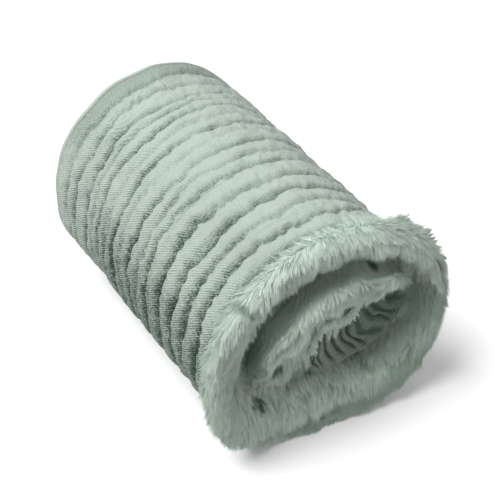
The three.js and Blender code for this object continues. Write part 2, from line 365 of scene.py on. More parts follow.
class Finish:  # a material and the nodes added to it
    def __init__(self, name):
        self.material = bpy.data.materials.new(name)
        self.material.use_nodes = True
        self.tree = self.material.node_tree
        self.skin = self.tree.nodes["Principled BSDF"]

    def node(self, kind, settings=None, inputs=None, output=0):
        made = self.tree.nodes.new(kind)
        for key, value in (settings or {}).items():
            setattr(made, key, value)
        self.feed(made, inputs or {})
        return Wire(self, made.outputs[output])

    def feed(self, node, inputs):
        for key, value in inputs.items():
            if isinstance(value, Wire):
                self.tree.links.new(value.socket, node.inputs[key])
            else:
                node.inputs[key].default_value = value

    def blend(self, factor, first, second):
        return self.node("ShaderNodeMix", {"data_type": "RGBA"}, {0: factor, 6: first, 7: second}, 2)

    def grain(self, place, scale, detail):
        return self.node("ShaderNodeTexNoise", inputs={"Vector": place, "Scale": scale, "Detail": detail})

    def wave(self, value):
        return self.node("ShaderNodeMath", {"operation": "SINE"}, {0: value})

    def read(self, name):  # a number that the piece carries at each vertex
        return self.node("ShaderNodeAttribute", {"attribute_name": name}, output=2)


def muslinFinish():
    look = {
        "crest": (0.432, 0.505, 0.451, 1),
        # fold: the colour that the painted shade in valleys and recesses goes towards
        "fold": (0.065, 0.1, 0.074, 1),
        "thread": 0.0021,  # from one thread to the next, in metres
        "wobble": 7.0,
        "weft": 0.15,
        "slub": 1.1,
        "pucker": 3.4,
        "relief": 0.0005,
        "roughness": 0.95,
        "specular": 0.25,
    }
    f = Finish("crinkled muslin")
    place = f.node("ShaderNodeTexCoord", output=3)
    measure = f.node("ShaderNodeUVMap", {"uv_map": "cloth"})
    split = f.node("ShaderNodeSeparateXYZ", inputs={0: measure}).socket.node
    across, along = Wire(f, split.outputs[0]), Wire(f, split.outputs[1])
    creaseShade, thread = f.read("creaseShade"), f.read("thread")
    wobble = f.grain(place, 90.0, 2.0) * look["wobble"]
    slub = f.grain(place, 620.0, 2.0)
    pucker = f.grain(place, 160.0, 4.0)
    patch = f.grain(place, 35.0, 4.0)
    turn = 2 * math.pi / look["thread"]
    warp = f.wave(across * turn + wobble)
    weft = f.wave(along * (turn * 1.3) + wobble)
    weave = warp * thread + weft * look["weft"] + slub * look["slub"] + pucker * look["pucker"]
    bump = f.node("ShaderNodeBump", inputs={"Height": weave, "Strength": 1.0, "Distance": look["relief"]})
    # dark lines between the threads: the weave's own pattern, with painted shade that grows in the valleys
    # and on the left flank; specks of the slub grain, strongest where shade is painted in the valleys
    threadGapShade = (warp * -0.5 + 0.5) * thread * (patch * 1.1 + creaseShade * 0.3 - 0.1)
    shadeSpecks = (slub - 0.5) * (creaseShade * 2.2 + patch * 0.4) * (thread * 2.5 + 0.04) * (1.2 - weft * warp)
    # painted shade: the cloth goes from its crest colour towards the fold colour in valleys, creases and
    # recesses
    colour = f.blend(creaseShade ** 1.3 * 0.72 + shadeSpecks + threadGapShade - 0.04, look["crest"], look["fold"])
    f.feed(f.skin, {"Base Color": colour, "Normal": bump})
    f.feed(f.skin, {"Roughness": look["roughness"], "Specular IOR Level": look["specular"]})
    return f.material


def plushFinish():
    look = {
        "tip": (0.88, 1.0, 0.91, 1),
        # root: darker than the tip, painted shade deep among the hairs
        "root": (0.46, 0.585, 0.495, 1),
        # deep and holeShade: the colours of the painted shade on the pile, the second only at the bottom of
        # a hole
        "deep": (0.125, 0.21, 0.147, 1),
        "holeShade": (0.02, 0.04, 0.027, 1),
        "roughness": 0.8,
        "specular": 0.25,
        "sheen": 0.35,
        "sheenTint": (0.75, 1, 0.8, 1),
    }
    f = Finish("plush pile")
    height, tint, depth = f.read("pileHeight"), f.read("pileTint"), f.read("pileShade")
    # painted shade: the hairs darken from tip to root
    colour = f.blend(height * 0.85 + tint * 0.5, look["root"], look["tip"])
    # painted shade by pileShade
    colour = f.blend(depth * 0.8, colour, look["deep"])
    colour = f.blend(depth * 2.0 - 2.5, colour, look["holeShade"])  # painted near-black shade, only at the bottom of a hole
    f.feed(f.skin, {"Base Color": colour, "Roughness": look["roughness"], "Sheen Weight": look["sheen"]})
    f.feed(f.skin, {"Sheen Tint": look["sheenTint"], "Specular IOR Level": look["specular"]})
    return f.material


def addMeasure(piece, name, values):  # a number for each vertex, which the material reads
    attribute = piece.data.attributes.new(name, "FLOAT", "POINT")
    attribute.data.foreach_set("value", np.asarray(values, np.float32).ravel())


muslin = muslinFinish()
plush = plushFinish()


print("muslin cover")
cover = {
    "columns": 285,
    "bodyRows": 138,
    "foldRows": 13,
    "faceRows": 4,
    "thickness": 1.6,
    "woundUnder": 38,  # degrees that the cloth goes on under its own end
    "foldDepth": 12,  # how round it turns over at the far end
    "farGroove": 12,
    "turnPitch": 26,  # how much narrower the roll's far end is, turn by turn
    "innerFace": 24,
    "tuck": 34,  # over this length the covered stretch bends in towards the far end
    # How its edges turn in: degrees past the loose end and share turned in, and at the seam along and in
    "endCurl": ((-0.1, 1.0), (-0.9, 0.72), (-1.2, 0.38), (-0.7, 0.12)),
    "nearCurl": ((1.6, 5.5), (0.4, 3.4), (-0.3, 1.3)),
    "hemWidth": 9,  # degrees
    "hemStitch": 8.2,
    "hemRise": 0.9,
    "seamDepth": 4,
    "crest": 0.66,  # where the crest lies between two valleys
    "nearRound": 0.42,
    "farRound": 0.7,
    "nearShade": 0.42,  # how far up its near and far side a valley is shaded
    "farShade": 0.12,
    "fullShade": 5.5,  # a valley this deep is shaded fully
    "leftDepth": 1.08,
    "depthSpread": (1.15, 0.8),
    "sway": (1.4, 0.8),
    "zigzag": (2.6, 2.4),
    "rumples": ((1.3, 0.55, 7, 1), (0.6, 0.8, 3.2, 2), (1.6, 1, 34, 8)),  # height, squeeze, size, seed
    "farRumple": 2.2,
    "farBand": (84, 112),  # the plainer stretch at the far end
    "farBandShade": (0.6, 0.48),  # on the crown, and how much less on the left
    "lowShade": 0.62,
    "thread": (0.11, 0.24),  # how much the threads show, and how much more on the left, where their dark gaps paint shade on the flank
    "threadLean": 0.7,
    "clothDegree": 1.61,  # millimetres of cloth for one degree
    "shortCreases": {
        "seed": 4,
        "count": 150,
        "reach": (7, 22),  # degrees
        "slant": 0.12,
        "width": (1.3, 2.6),
        "depth": (0.5, 1.6),
        "shade": 0.16,
    },
}


def valleyLines(angle):  # where each valley lies at an angle, and how deep it is
    side, up = np.cos(np.radians(angle)), np.sin(np.radians(angle))
    crown = np.maximum(0, up)
    left = np.maximum(0, -side) + np.maximum(0, -up) / 2
    right = np.maximum(0, side) + np.maximum(0, -up) / 2
    total = left + crown + right
    girth = angle * roll["degree"]
    mean, spread = cover["depthSpread"]
    places, depths = [seamAt(angle)], [cover["seamDepth"] + 0 * angle]
    for k, (atLeft, atCrown, atRight, leftDepth, crownDepth) in enumerate(valleys):
        phase = atLeft * 0.7
        sway = cover["sway"][0] * np.sin(np.radians(5 * angle) + phase)
        sway = sway + cover["sway"][1] * np.sin(np.radians(11 * angle) + 2.3 * phase)
        zigzag = cover["zigzag"][0] * rumple(girth, k * 31.0, 0, 8, 3)
        zigzag = zigzag + cover["zigzag"][1] * rumple(girth, k * 17.0, 0, 4, 9)
        places.append((left * atLeft + crown * atCrown + right * atRight) / total + sway + zigzag)
        rightDepth = (leftDepth + crownDepth) / 2
        depth = left * leftDepth * cover["leftDepth"] + crown * crownDepth + right * rightDepth
        depths.append(depth / total * (mean + spread * rumple(girth, k * 53.0, 0, 26, 5)))
    places.append(roll["farEnd"] - cover["foldDepth"] + 0 * angle)
    depths.append(0 * angle)
    return np.stack(places), np.stack(depths)


def crinkle(angle, y, lines):  # how deep the cloth lies at a place, and how much shade is painted there by how far down a valley it is
    places, depths = lines
    k = np.clip((y[None] >= places[:, None]).sum(0) - 1, 0, len(places) - 2)
    column = np.broadcast_to(np.arange(angle.shape[-1]), y.shape)
    near, far = places[k, column], places[k + 1, column]
    u = np.clip((y - near) / np.maximum(far - near, 1), 0, 1)
    crest = cover["crest"]
    nearSide = np.sin(np.pi / 2 * np.minimum(u / crest, 1)) ** cover["nearRound"]
    farSide = np.sin(np.pi / 2 * np.minimum((1 - u) / (1 - crest), 1)) ** cover["farRound"]
    arch = np.where(u < crest, nearSide, farSide)
    depth = mix(depths[k, column], depths[k + 1, column], u)
    nearShade = np.clip(1 - u / cover["nearShade"], 0, 1) ** 1.4
    farShade = np.clip(1 - (1 - u) / cover["farShade"], 0, 1)
    shade = np.maximum(nearShade, farShade) * np.clip(depth / cover["fullShade"], 0.25, 1.15)
    return depth * (1 - arch), shade


def shortCreases(angle, y):  # little slanting creases that run a few centimetres and fade
    short = cover["shortCreases"]
    random = np.random.default_rng(short["seed"])
    depth = np.zeros_like(y)
    for _ in range(short["count"]):
        atAngle = random.uniform(-20, 345)
        atY = random.uniform(roll["nearSeam"] + 6, roll["farEnd"] - 14)
        reach = random.uniform(*short["reach"])
        slant = random.normal(0, short["slant"])
        width = random.uniform(*short["width"])
        deep = random.uniform(*short["depth"])
        off = (angle - atAngle + 180) % 360 - 180
        fade = np.clip(1 - (off / reach) ** 2, 0, 1)
        depth += deep * fade * dome(y - atY - slant * off * roll["degree"], width)
    return depth


def coverPoints():
    past, curl = np.array(cover["endCurl"]).T
    wound = np.concatenate([past, np.linspace(0, 360 + cover["woundUnder"], cover["columns"])])
    curl = np.concatenate([curl, np.zeros(cover["columns"])])[None]
    angle = roll["looseEnd"] - wound
    fold = roll["farEnd"] - cover["foldDepth"]
    t = np.linspace(0, 1, cover["bodyRows"])[:, None]
    y = mix(seamAt(angle)[None], fold, t)
    shrink, creaseShade = crinkle(angle[None], y, valleyLines(angle))
    short = shortCreases(angle[None] + 0 * y, y)
    shrink = shrink + short
    creaseShade = creaseShade + cover["shortCreases"]["shade"] * short
    a = np.radians(angle)[None]
    px, pz = roll["halfWidth"] * np.cos(a), roll["halfHeight"] * np.sin(a)
    fade = hill(t, 0, 0.03, 0.94, 1)
    for height, squeeze, size, seed in cover["rumples"]:
        shrink = shrink - fade * height * rumple(px * squeeze, y, pz * squeeze, size, seed)
    shrink = shrink - smooth(t, 0.86, 1) * cover["farRumple"] * rumple(px, 0 * y, pz, 22, 12)
    # painted shade on the plainer far band, less of it on the left, and low on the left flank
    crownShade, lessLeft = cover["farBandShade"]
    farShade = crownShade - lessLeft * smooth(angle, 130, 165)
    low = cover["lowShade"] * hill(angle, 140, 178, 205, 240)
    creaseShade = creaseShade + farShade[None] * smooth(y, *cover["farBand"]) + low[None] * (1 - smooth(y, 20, 90))
    hem = 1 - smooth(wound, cover["hemWidth"] - 1.8, cover["hemWidth"])
    hem = hem - 1.3 * dome(wound - cover["hemStitch"], 0.9)
    shrink = np.maximum(shrink - cover["hemRise"] * hem[None] * fade, -0.8)
    flatOut = layerOut(np.maximum(wound, 0))[None]
    out = flatOut - shrink
    inset = cover["farGroove"] + cover["turnPitch"] * np.maximum(wound, 0) / 360
    tucked = smooth(wound, 350, 363)[None] * smooth(y, fold - cover["tuck"], fold)
    out = mix(out, np.minimum(out, -(inset - cover["turnPitch"] + 1.2)[None]), tucked)
    rows = [seamAt(angle)[None] + along for along, into in cover["nearCurl"]] + [y]
    backs = [out[:1] - into for along, into in cover["nearCurl"]] + [out]
    # painted shade, row by row: none where the seam curls in, a little round the far fold, more on its
    # inner face
    creases = [0 * out[:1] for _ in cover["nearCurl"]] + [creaseShade]
    start = out[-1:]
    width = start + inset[None]
    sink = 1 - 0.3 * smooth(wound, 368, 396)[None]  # the inner end of this stretch goes under the next one
    for k in range(1, cover["foldRows"] + 1):
        turn = math.pi * k / cover["foldRows"]
        rows.append(fold + cover["foldDepth"] * math.sin(turn) * sink)
        backs.append(start - width * (1 - math.cos(turn)) / 2)
        creases.append(0.25 * smooth(np.full_like(start, k / cover["foldRows"]), 0.6, 1))
    for k in range(1, cover["faceRows"] + 1):
        rows.append(fold - cover["innerFace"] * k / cover["faceRows"] + 0 * start)
        backs.append(start - width)
        creases.append(0.4 + 0 * start)
    y, out, creaseShade = np.concatenate(rows), np.concatenate(backs), np.concatenate(creases)
    inFold = (np.arange(len(y)) >= len(y) - cover["foldRows"] - cover["faceRows"])[:, None]
    out = mix(out, np.where(inFold, start - width / 2, flatOut - 4.2), curl)
    y = mix(y, np.where(inFold, np.minimum(y, fold - 1), y), curl)
    lean = cover["threadLean"] * hill(angle, 85, 130, 200, 250)
    cloth = np.stack([wound[None] * cover["clothDegree"] + lean[None] * y, y], -1) / 1000
    base, moreLeft = cover["thread"]
    thread = base + moreLeft * hill(angle, 95, 135, 200, 250)
    thread = thread[None] * (1 - 0.55 * smooth(y, *cover["farBand"]))
    return rollPoint(angle[None] + 0 * y, out, y), cloth, creaseShade, thread


points, cloth, creaseShade, thread = coverPoints()
muslinCover = gridPiece("muslin_cover_cloth", points, cloth)
addMeasure(muslinCover, "creaseShade", creaseShade)
addMeasure(muslinCover, "thread", thread)
facing(muslinCover, fromAxis)
thicken(muslinCover, cover["thickness"])
muslinCover.data.materials.append(muslin)
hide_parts("muslin_cover")
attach(muslinCover, "root")


print("far folds")
folds = {
    "columns": 330,
    "topRows": 13,
    "depth": 30,
    "start": 352,  # degrees wound in from the loose end
    "end": 1075,
    "closing": 40,  # degrees over which the innermost end rounds off
    "rise": (0.3, 0.7),
    "rumples": (1.6, 0.8),
    "thickness": 1.6,
    "thread": 0.2,
}


def foldPoints():
    wound = np.linspace(folds["start"], folds["end"], folds["columns"])
    angle = roll["looseEnd"] - wound
    outer = cover["farGroove"] + cover["turnPitch"] * (wound - 360) / 360 + 0.9
    inner = np.minimum(outer + cover["turnPitch"] - 1.8, roll["halfWidth"] - 0.5)
    outer = np.minimum(outer, inner - 0.5)
    rise = cover["foldDepth"] - 0.5 - 3 * (1 - smooth(inner - outer, 4, 22))
    past = np.maximum((wound - folds["end"] + folds["closing"]) / folds["closing"], 0)
    close = np.sqrt(np.clip(1 - past ** 2, 0.0004, 1))
    outer, inner = mix((outer + inner) / 2, outer, close), mix((outer + inner) / 2, inner, close)
    rise = rise * (folds["rise"][0] + folds["rise"][1] * close)
    base = roll["farEnd"] - cover["foldDepth"]
    down = np.linspace(0, 1, 5)
    rows = [base - folds["depth"] * (1 - share) + 0 * wound for share in down]
    insets = [outer for _ in down]
    for k in range(1, folds["topRows"] + 1):
        turn = math.pi * k / folds["topRows"]
        rows.append(base + rise * math.sin(turn))
        insets.append(mix(outer, inner, (1 - math.cos(turn)) / 2))
    rows = rows + [base - folds["depth"] * share + 0 * wound for share in down[1:]]
    insets = insets + [inner for _ in down[1:]]
    y, inset = np.stack(rows), np.stack(insets)
    a = np.radians(angle)[None]
    px, pz = (roll["halfWidth"] - inset) * np.cos(a), (roll["halfHeight"] - inset) * np.sin(a)
    wide, fine = folds["rumples"]
    uneven = wide * rumple(px, 0 * y, pz, 16, 5) + fine * rumple(px, y, pz, 5, 6) - 1.2
    y = y + smooth(y, base, base + 8) * uneven
    cloth = np.stack(np.broadcast_arrays(wound[None] * 0.9, y * 0 + np.arange(len(y))[:, None] * 4.4), -1)
    # painted shade low in the far folds, down between the turns
    creaseShade = 0.5 * (1 - smooth(y, base - 6, base + 9))
    return rollPoint(angle[None] + 0 * y, -inset, y), cloth / 1000, creaseShade


points, cloth, creaseShade = foldPoints()
farFolds = gridPiece("muslin_far_folds", points, cloth)
addMeasure(farFolds, "creaseShade", creaseShade)
addMeasure(farFolds, "thread", folds["thread"] + 0 * creaseShade)
facing(farFolds, farwards)
thicken(farFolds, folds["thickness"])
farFolds.data.materials.append(muslin)
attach(farFolds, "root")


print("plush end")
plushEnd = {
    "columns": 180,
    "rows": 76,
    "innerX": 12,  # the middle of the inner turns, from the axis
    "innerZ": 4,
    "thickness": 2.2,
    "socketWall": 13.4,
    "socketDepth": 12,
    "leftDip": 6,
    "lumps": ((2.4, 24, 31), (1.3, 10, 32)),  # height, size, seed
    "dishLumps": (3, 7, 33),
    "innerRow": 0.4,  # from this share of its rows on, it has holes and the gathered turn
    "gap": (4, 6, 12),  # along the gathered turn's outer edge: width at its start and end, depth
    "deepest": 16,  # how far its cloth may go in behind the seam
}
# How deep the cloth lies under the tips of its pile, row by row
pileDepths = {"row": (0.1, 0.2, 0.42, 0.55, 0.62, 0.68, 0.8, 0.92), "depth": (0, 5, 5, 6.5, 6, 4, 4.5, 5)}
# Holes and dents in the pile: x and z from the axis, width, depth
dents = np.array([
    (25, 27, 3, 11),
    (33, 24, 3.5, 13),
    (41, 21, 3, 12),
    (71, -12, 4, 10),
    (60, -24, 4.5, 11),
    (77, 12, 4, 10),
    (-31, -14, 4, 12),
    (-51, -7, 5, 12),
    (-51, -42, 3.6, 10),
    (-46, -51, 2.6, 8),
    (45, 56, 5, 4),
    (66, 24, 4, 8),
    (-60, 66, 1.5, 3),
    (-54, 68, 1.3, 3),
    (-37, 88, 1.3, 3),
], float)
# Where the pile is in shade: the groove above the inner turns, and the rim's ledge as angle and radius
grooveLine = np.array([
    (62, 44), (46, 56), (35, 57), (21, 58), (0, 56), (-11, 51), (-20, 43), (-31, 32), (-42, 22), (-54, 8),
    (-58, -6),
], float)
ledge = np.array([(-120, 80), (-104, 75), (-88, 72.5), (-65, 75), (-34, 82), (-16, 90), (4, 97)])
shades = {
    "groove": (0.7, 0.3),  # on the right, and how much more on the left
    "grooveWidth": 8,
    "turnReach": (7, 19),
    "ledge": 0.65,
    "crown": 0.06,
    "leftCheek": 0.5,
    "brow": 0.25,
    "hole": 1.7,
    "rimHole": 0.7,
    "most": 1.25,
}


def endRings(angle):  # the plush's outer surface at the tips of its pile, ring by ring
    at = {name: ringCurve(endProfile[:, k], angle) for k, name in enumerate(profileNames)}

    def tuft(size, phase):
        return size * np.sin(np.radians(9 * angle) + phase) * np.sin(np.radians(4 * angle))

    def ring(radius, rise, inner=False):
        a = np.radians(angle)
        x = plushEnd["innerX"] * inner + radius * np.cos(a)
        z = axisHeight + plushEnd["innerZ"] * inner + radius * np.sin(a)
        return np.stack([x, roll["nearSeam"] - rise, np.maximum(z, 0)], -1)

    def under(inset, y):
        x, z = rollOutline(angle, layerOut(np.mod(roll["looseEnd"] - angle, 360)) - inset)
        return np.stack([x, y, z], -1)

    rim, lip, dip, ridge = at["rim"], at["lip"], at["dip"], at["ridge"]
    rimRise, lipRise, dipRise, ridgeRise = at["rimRise"], at["lipRise"], at["dipRise"], at["ridgeRise"]
    dip = dip - plushEnd["leftDip"] * hill(angle, 95, 130, 200, 230)
    notch = 4 - 6 * hill(angle, 190, 215, 300, 330)
    full = hill(angle, 110, 140, 205, 230)  # the lip is rounder on the left
    rings = [
        under(plushEnd["socketWall"], seamAt(angle) + plushEnd["socketDepth"]),
        under(plushEnd["socketWall"], seamAt(angle) + 3),
        under(3.5, seamAt(angle) - 0.9),
        ring(mix(roll["halfWidth"], rim, 0.7), rimRise * 0.35),
        ring(rim + tuft(1, 0), rimRise),
        ring(mix(rim, lip, 0.5) + 1.5, mix(rimRise, lipRise, 0.75)),
        ring(lip, lipRise + tuft(1.5, 1)),
        ring(mix(lip, dip, 0.4 + 0.15 * full), mix(lipRise, dipRise, 0.22 + 0.02 * full)),
        ring(mix(lip, dip, 0.8 + 0.12 * full), mix(lipRise, dipRise, 0.75 - 0.12 * full)),
        ring(dip, dipRise),
        ring(ridge + 4, mix(dipRise, ridgeRise, 0.65), True),
        ring(ridge, ridgeRise, True),
        ring(ridge * 0.8, ridgeRise - notch, True),
        ring(ridge * 0.6, 8 + 0.4 * ridgeRise, True),
        ring(ridge * 0.3, 9 + 0.3 * ridgeRise, True),
        ring(0 * ridge, 15 + 0 * ridge, True),
    ]
    return np.stack(rings)


def gridNormals(points):  # the outward normal at each point of a table that is closed round its columns
    along = np.gradient(points, axis=0)
    padded = np.concatenate([points[:, -2:-1], points, points[:, 1:2]], 1)
    around = (padded[:, 2:] - padded[:, :-2]) / 2
    normal = unit(np.cross(around, along))
    if normal[60:, :, 1].mean() > 0:  # the inner rows look to the near end
        normal = -normal
    return normal


def insideTurn(x, z, margin):  # whether a place of the end lies in the gathered muslin's stretch
    path = rowCurve(innerTurn, np.linspace(0, 1, 60))
    edge, outer = path[:, :2], path[:, 3:5]
    across = unit(outer - edge)
    outline = np.concatenate([edge - across * margin, (outer + across * margin)[::-1]])
    inside = np.zeros(np.shape(x), bool)
    for (x0, z0), (x1, z1) in zip(outline, np.roll(outline, -1, 0)):
        crosses = (z0 > z) != (z1 > z)
        safe = np.where(z1 == z0, 1e-9, z1 - z0)
        inside ^= crosses & (x < (x1 - x0) * (z - z0) / safe + x0)
    return inside


def distanceTo(line, x, z):  # how far places of the end lie from a smooth line over it
    path = rowCurve(line, np.linspace(0, 1, 80))
    return np.hypot(x[..., None] - path[:, 0], z[..., None] - path[:, 1]).min(-1)


def dentAt(x, z):  # how far the pile is pushed in at a place of the end, and how near that is to a hole
    atStart, atEnd, gapDepth = plushEnd["gap"]
    off = np.hypot(x[..., None] - dents[:, 0], z[..., None] - dents[:, 1]) / dents[:, 2]
    gap = distanceTo(turnOuter, x, z) / mix(atStart, atEnd, smooth(x, 10, 50))
    depth = np.maximum((dents[:, 3] * dome(off, 1)).max(-1), gapDepth * dome(gap, 1))
    return depth, np.minimum(off.min(-1), gap)


def paintedShadeAt(x, y, z):  # how much shade is painted on the pile at a place: 0 on the open lip, 1 in the groove round the inner turns, more in the holes
    rise = roll["nearSeam"] - y
    radius, angle = np.hypot(x, z), np.degrees(np.arctan2(z, x))
    onRight, moreLeft = shades["groove"]
    inGroove = dome(distanceTo(grooveLine, x, z), shades["grooveWidth"]) * (1 - smooth(rise, 14, 20))
    inGroove = inGroove * (onRight + moreLeft * smooth(-x, 20, 50))
    reach = mix(*shades["turnReach"], smooth(x, 15, 60))
    beside = dome(np.maximum(distanceTo(turnOuter, x, z) - 7, 0), reach) * (1 - smooth(z, 14, 30))
    beyond = smooth(radius - np.interp(angle, ledge[:, 0], ledge[:, 1]), 1, 6)
    under = shades["ledge"] * beyond * hill(angle, -125, -100, -15, 5)
    crown = shades["crown"] * smooth(z, 66, 90) * smooth(x, -15, 20)
    cheek = shades["leftCheek"] * dome(x + 72, 9) * dome(z - 2, 26)
    cheek = cheek + shades["brow"] * dome(np.hypot(x - 32, z - 46), 12)
    shadePatches = np.clip(rumple(x, 0, z, 6, 41) - 0.1, 0, 1)  # patches of painted shade, low and on the right, inside the lip
    shadePatches = shadePatches * np.maximum(smooth(-z, 10, 35), smooth(x, 50, 62)) * (1 - smooth(radius, 74, 88))
    # all the painted shade together: the groove, beside the gathered turn, beyond the ledge, the crown, the
    # cheek and brow, and the patches
    soft = np.max([inGroove, beside, under, crown, cheek], axis=0) + shadePatches
    hole = shades["hole"] * (1 - smooth(dentAt(x, z)[1], 0.8, 2))
    hole = hole * np.where(radius > 80, shades["rimHole"] * smooth(rise, 3, 7), 1)
    return np.maximum(np.minimum(soft, shades["most"]), hole)


def plushGround(angle, row):  # the plush cloth under its pile, and the way that the pile stands
    tips = rowCurve(endRings(angle), row[:, 0])
    normal = gridNormals(tips)
    lump = sum(height * rumpleAt(tips, size, seed) for height, size, seed in plushEnd["lumps"])
    height, size, seed = plushEnd["dishLumps"]
    inDish = hill(row, 0.44, 0.5, 0.6, 0.66) * smooth(axisHeight - tips[..., 2], 10, 35)
    lump = lump + height * inDish * rumpleAt(tips, size, seed)
    tips = tips + normal * (lump * smooth(row, 0.2, 0.3))[..., None]
    ground = tips - normal * np.interp(row, pileDepths["row"], pileDepths["depth"])[..., None]
    x, z = ground[..., 0], ground[..., 2] - axisHeight
    covered = insideTurn(x, z, 0.5) & (row > 0.6)
    dent = dentAt(x, z)[0] * (row > 0.45)
    for _ in range(3):  # soften the crests, where the pile would leave the cloth bare
        rounded = (ground[:-2] + 2 * ground[1:-1] + ground[2:]) / 4
        ground[1:-1] = mix(ground[1:-1], rounded, smooth(row, 0.55, 0.65)[1:-1, :, None])
    ground[..., 1] += np.where(covered, 14, dent + 2 * smooth(row, 0.78, 0.86))
    deepest = np.minimum(ground[..., 1], roll["nearSeam"] + plushEnd["deepest"])
    ground[..., 1] = np.where(row > 0.3, deepest, ground[..., 1])
    ground[..., 2] = np.maximum(ground[..., 2], 0.6)
    return ground, normal


plushAngle = np.linspace(0, 360, plushEnd["columns"])
plushRow = np.linspace(0, 1, plushEnd["rows"])[:, None] + 0 * plushAngle
ground, plushNormal = plushGround(plushAngle, plushRow)
plushCloth = gridPiece("plush_cloth", toFrame(ground[..., 0], ground[..., 1], ground[..., 2]), closed=True)
spots = np.array([v.co for v in plushCloth.data.vertices]) * 1000 - np.array([axisX, axisY, axisHeight])
# the cloth under the pile takes the root colour, with its painted shade
addMeasure(plushCloth, "pileHeight", np.zeros(len(spots)))
addMeasure(plushCloth, "pileTint", np.full(len(spots), 0.2))
addMeasure(plushCloth, "pileShade", paintedShadeAt(*spots.T))
facing(plushCloth, nearwards)
thicken(plushCloth, plushEnd["thickness"])
plushCloth.data.materials.append(plush)
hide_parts("plush_lining")
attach(plushCloth, "root")


print("gathered inner turn")
gather = {
    "columns": 170,
    "rows": 50,
    "creases": np.array([-0.05, 0.07, 0.16, 0.22, 0.31, 0.4, 0.47, 0.56, 0.63, 0.73, 0.8, 0.9, 1.05]),
    "depth": 2.6,
    "root": 14,  # how far its edges go down into the plush
    "length": 120,
    "width": 34,
    "bow": 0.05,  # the gathers bow along the band
    "wander": 0.035,
    "rumples": ((1.1, 5, 7), (0.5, 2, 8)),  # height, size, seed
    "shade": (0.75, 0.45, 0.8),  # at its near end, how much more at its far end, and in a crease
    "thickness": 1.6,
    "thread": 0.05,
}


def gatherSection(path, taper):  # across the band, from one edge over the top to the other: share and rise
    edgeTop = path[:, 2] * (0.5 + 0.5 * taper)
    outerTop = path[:, 5] * (0.5 + 0.5 * taper)
    root = -gather["root"] + 0 * taper
    places = [
        (-0.02, root),
        (-0.02, edgeTop - 9),
        (0.10, edgeTop - 5),
        (0.40, mix(edgeTop, outerTop, 0.45) - 2.5),
        (0.72, mix(edgeTop, outerTop, 0.9) - 2.5),
        (0.88, outerTop - 0.8),
        (0.95, outerTop + 0.2),
        (1.0, outerTop - 2),
        (1.0, root),
    ]
    section = np.stack([np.stack([share + 0 * taper, rise], -1) for share, rise in places])
    profile = rowCurve(section, np.linspace(0, 1, gather["rows"]))
    return profile[..., 0], profile[..., 1]


def gatherPoints():
    s = np.linspace(0, 1, gather["columns"])
    path = rowCurve(innerTurn, s)
    taper = np.minimum(1, np.minimum(s, 1 - s) * 10.7) ** 0.5
    share, rise = gatherSection(path, taper)
    squeeze = 0.325 * (1 - taper)
    across = mix(squeeze[None], 1 - squeeze[None], share)
    bow = gather["bow"] * np.sin(np.pi * np.clip(share, 0, 1)) - 0.03 * share
    place = s[None] + bow + gather["wander"] * rumple(s[None] * gather["length"], share * 25, 0, 12, 3)
    creases = gather["creases"]
    k = np.clip(np.searchsorted(creases, place) - 1, 0, len(creases) - 2)
    u = np.clip((place - creases[k]) / (creases[k + 1] - creases[k]), 0, 1)
    arch = np.sin(np.pi * u ** 0.8) ** 0.6
    size = gather["depth"] * (0.75 + 0.5 * np.sin(k * 2.3))
    onTop = smooth(share, 0.0, 0.12) * (1 - smooth(share, 0.8, 0.95) * 0.75) * taper[None]
    rise = rise - size * (1 - arch) * onTop
    for height, hills, seed in gather["rumples"]:
        rise = rise + height * rumple(s[None] * 110, share * 26, 0, hills, seed) * onTop
    x = mix(path[None, :, 0], path[None, :, 3], across)
    z = axisHeight + mix(path[None, :, 1], path[None, :, 4], across)
    base, moreFar, inCrease = gather["shade"]
    # painted shade on the gathered turn, more towards its far end and in its creases
    creaseShade = base + moreFar * s[None] + inCrease * (1 - arch) * onTop
    cloth = np.stack(np.broadcast_arrays(s[None] * gather["length"], share * gather["width"]), -1) / 1000
    return toFrame(x, roll["nearSeam"] - rise, z), cloth, creaseShade


points, cloth, creaseShade = gatherPoints()
innerGather = gridPiece("muslin_gathered_turn", points, cloth)
addMeasure(innerGather, "creaseShade", creaseShade)
addMeasure(innerGather, "thread", gather["thread"] + 0 * creaseShade)
facing(innerGather, nearwards)
thicken(innerGather, gather["thickness"])
innerGather.data.materials.append(muslin)
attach(innerGather, "root")


print("pile")
# One hair's radii, and what a stretch of pile has unless it says otherwise
hair = {
    "root": 0.2,
    "middle": 0.17,
    "clumping": 0.36,
    "perClump": 20,
    "lean": 0.17,
    # deep: painted shade that a stretch's hairs carry besides the shade of where they grow
    "deep": 0,
    "outward": 0,
}
comb = {"way": (-0.30, -0.50, -0.75), "sway": 0.45, "sag": 0.2, "mess": 0.08}
# Each stretch: the rows of the plush that it covers, its hairs, their length and how steeply they stand
stretches = [
    {"name": "pile_rim", "rows": (0.13, 0.34), "hairs": 36000, "length": 10, "rise": 0.6,
     "lean": 0.12, "perClump": 13},
    {"name": "pile_lip", "rows": (0.34, 0.47), "hairs": 40000, "length": 10, "rise": 0.55, "lean": 0.12},
    {"name": "pile_dip", "rows": (0.47, 0.62), "hairs": 28000, "length": 9, "rise": 0.5,
     "lean": 0.3, "clumping": 0.5},
    {"name": "pile_ridge", "rows": (0.62, 0.76), "hairs": 22000, "length": 8.5, "rise": 0.6},
    {"name": "pile_middle", "rows": (0.76, 1.0), "hairs": 16000, "length": 8, "rise": 0.5},
    {"name": "pile_edge", "edge": True, "hairs": 6000, "length": 5.5},
]
